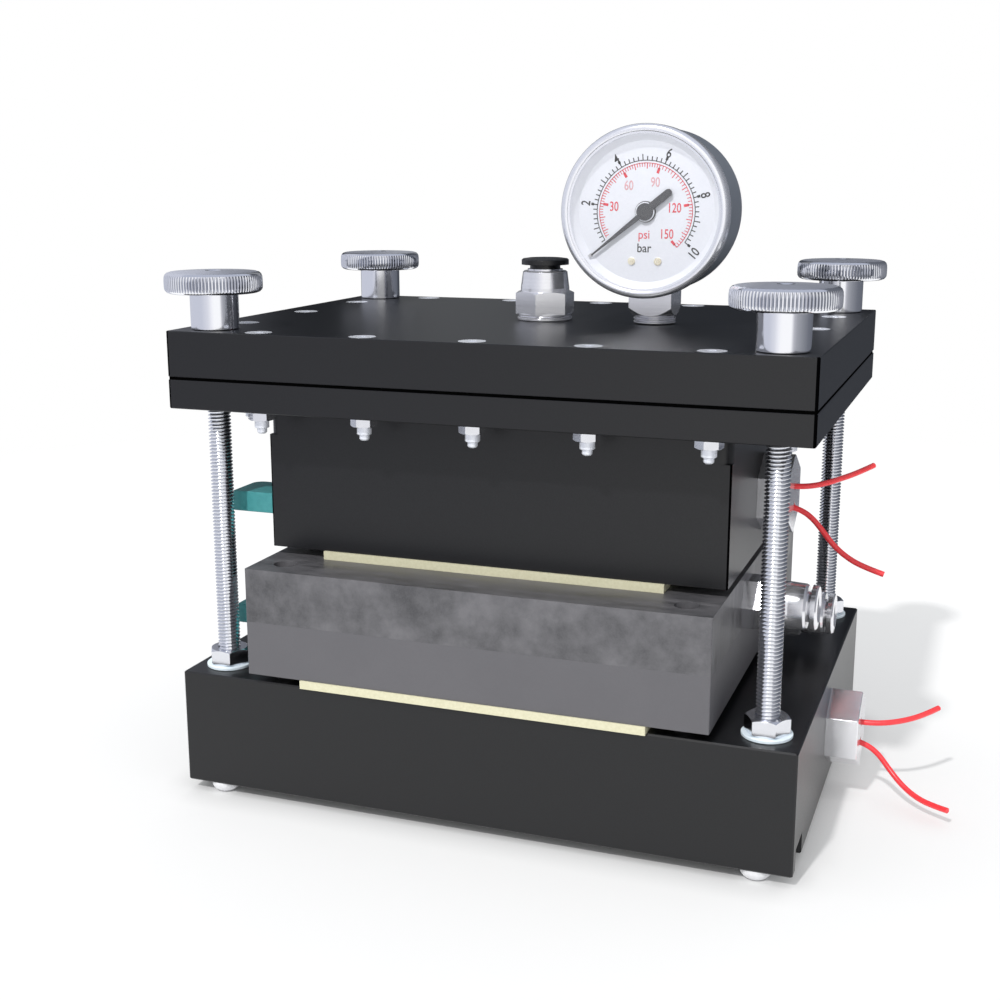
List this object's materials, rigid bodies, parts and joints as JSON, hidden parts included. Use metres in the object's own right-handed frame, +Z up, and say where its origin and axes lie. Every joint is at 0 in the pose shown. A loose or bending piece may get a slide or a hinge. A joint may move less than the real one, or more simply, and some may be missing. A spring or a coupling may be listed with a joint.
{
  "type": "battery test cell",
  "caption": "Bench fixture that clamps a flat cell between heated blocks under a guided pressure head with hand knobs, an air fitting and a dial gauge.",
  "frame": {"origin": "middle of the footprint of everything but the free wires, on the surface the feet stand on", "axes": "+X to the right along the front, +Y from the front to the back, +Z up"},
  "size_m": [0.2694, 0.1706, 0.2383],
  "materials": {
    "black_anodised": "satin",
    "foot_plastic": "satin",
    "plated_steel": "satin",
    "zinc_steel": "satin",
    "pad_sheet": "matte",
    "dark_steel": "matte",
    "graphite_smooth": "matte",
    "graphite_mottled": "matte",
    "teal_plastic": "satin",
    "plug_metal": "satin",
    "red_wire": "satin",
    "fitting_metal": "polished",
    "membrane_rubber": "matte",
    "knob_metal": "polished",
    "black_plastic": "satin",
    "case_steel": "satin",
    "bezel_metal": "polished",
    "clear_glass": "gloss",
    "dial_white": "matte",
    "brass_screw": "satin",
    "pointer_black": "satin"
  },
  "bodies": {
    "base_assembly": {"base_block": "black_anodised", "feet": "foot_plastic", "tie_rods": "plated_steel", "rod_washers": "zinc_steel", "rod_nuts": "plated_steel", "lower_pad": "pad_sheet", "locating_bushes": "dark_steel", "lower_flow_plate": "graphite_smooth", "upper_flow_plate": "graphite_mottled", "upper_pad": "pad_sheet", "cell_tab": "teal_plastic", "base_heater_plug": "plug_metal", "base_wire_upper": "red_wire", "base_wire_lower": "red_wire", "flow_fitting_front": "fitting_metal", "flow_fitting_rear": "fitting_metal"},
    "clamp_head": {"lower_plate": "black_anodised", "membrane": "membrane_rubber", "upper_plate": "black_anodised", "plate_screws": "plated_steel", "plate_nuts": "plated_steel", "air_fitting_body": "fitting_metal", "gauge_stem": "fitting_metal", "gauge_case": "case_steel", "gauge_bezel": "bezel_metal", "gauge_glass": "clear_glass", "gauge_dial": "dial_white", "gauge_dial_screws": "brass_screw"},
    "press_block": {"press_block": "black_anodised", "block_tab": "teal_plastic", "block_heater_plug": "plug_metal", "block_wire_upper": "red_wire", "block_wire_lower": "red_wire"},
    "gauge_pointer": {"gauge_pointer": "pointer_black"},
    "air_collar": {"air_collar": "black_plastic"},
    "flow_collar_front": {"flow_collar_front": "fitting_metal"},
    "flow_collar_rear": {"flow_collar_rear": "fitting_metal"},
    "knob_front_right": {"knob_front_right": "knob_metal"},
    "knob_front_left": {"knob_front_left": "knob_metal"},
    "knob_rear_left": {"knob_rear_left": "knob_metal"},
    "knob_rear_right": {"knob_rear_right": "knob_metal"}
  },
  "joints": [
    {"name": "head_lift", "type": "slide", "parent": "base_assembly", "child": "clamp_head", "axis": [0, 0, 1], "range_m": [0, 0.01]},
    {"name": "press_travel", "type": "slide", "parent": "clamp_head", "child": "press_block", "axis": [0, 0, 1], "range_m": [0, 0.006]},
    {"name": "knob_front_right_turn", "type": "hinge", "parent": "clamp_head", "child": "knob_front_right", "pos_m": [0.09525, -0.0684, 0.1692], "axis": [0, 0, 1], "range_deg": [0, 2880]},
    {"name": "knob_front_left_turn", "type": "hinge", "parent": "clamp_head", "child": "knob_front_left", "pos_m": [-0.10155, -0.0684, 0.1692], "axis": [0, 0, 1], "range_deg": [0, 2880]},
    {"name": "knob_rear_left_turn", "type": "hinge", "parent": "clamp_head", "child": "knob_rear_left", "pos_m": [-0.10155, 0.0684, 0.1692], "axis": [0, 0, 1], "range_deg": [0, 2880]},
    {"name": "knob_rear_right_turn", "type": "hinge", "parent": "clamp_head", "child": "knob_rear_right", "pos_m": [0.09525, 0.0684, 0.1692], "axis": [0, 0, 1], "range_deg": [0, 2880]},
    {"name": "pointer_turn", "type": "hinge", "parent": "clamp_head", "child": "gauge_pointer", "pos_m": [0.03835, -0.0158, 0.2089], "axis": [0, 1, 0], "range_deg": [0, 258], "stiffness_Nm_per_rad": 0.0005, "springref_deg": -22.92},
    {"name": "air_collar_push", "type": "slide", "parent": "clamp_head", "child": "air_collar", "axis": [0, 0, -1], "range_m": [0, 0.0013], "stiffness_N_per_m": 300, "springref_m": -0.001},
    {"name": "flow_collar_front_push", "type": "slide", "parent": "base_assembly", "child": "flow_collar_front", "axis": [-1, 0, 0], "range_m": [0, 0.0012], "stiffness_N_per_m": 300, "springref_m": -0.001},
    {"name": "flow_collar_rear_push", "type": "slide", "parent": "base_assembly", "child": "flow_collar_rear", "axis": [-1, 0, 0], "range_m": [0, 0.0012], "stiffness_N_per_m": 300, "springref_m": -0.001}
  ],
  "couplings": [
    {"joint": "knob_front_right_turn", "follows": "head_lift", "rad_per_m": 5026.5},
    {"joint": "knob_front_left_turn", "follows": "head_lift", "rad_per_m": 5026.5},
    {"joint": "knob_rear_left_turn", "follows": "head_lift", "rad_per_m": 5026.5},
    {"joint": "knob_rear_right_turn", "follows": "head_lift", "rad_per_m": 5026.5}
  ]
}
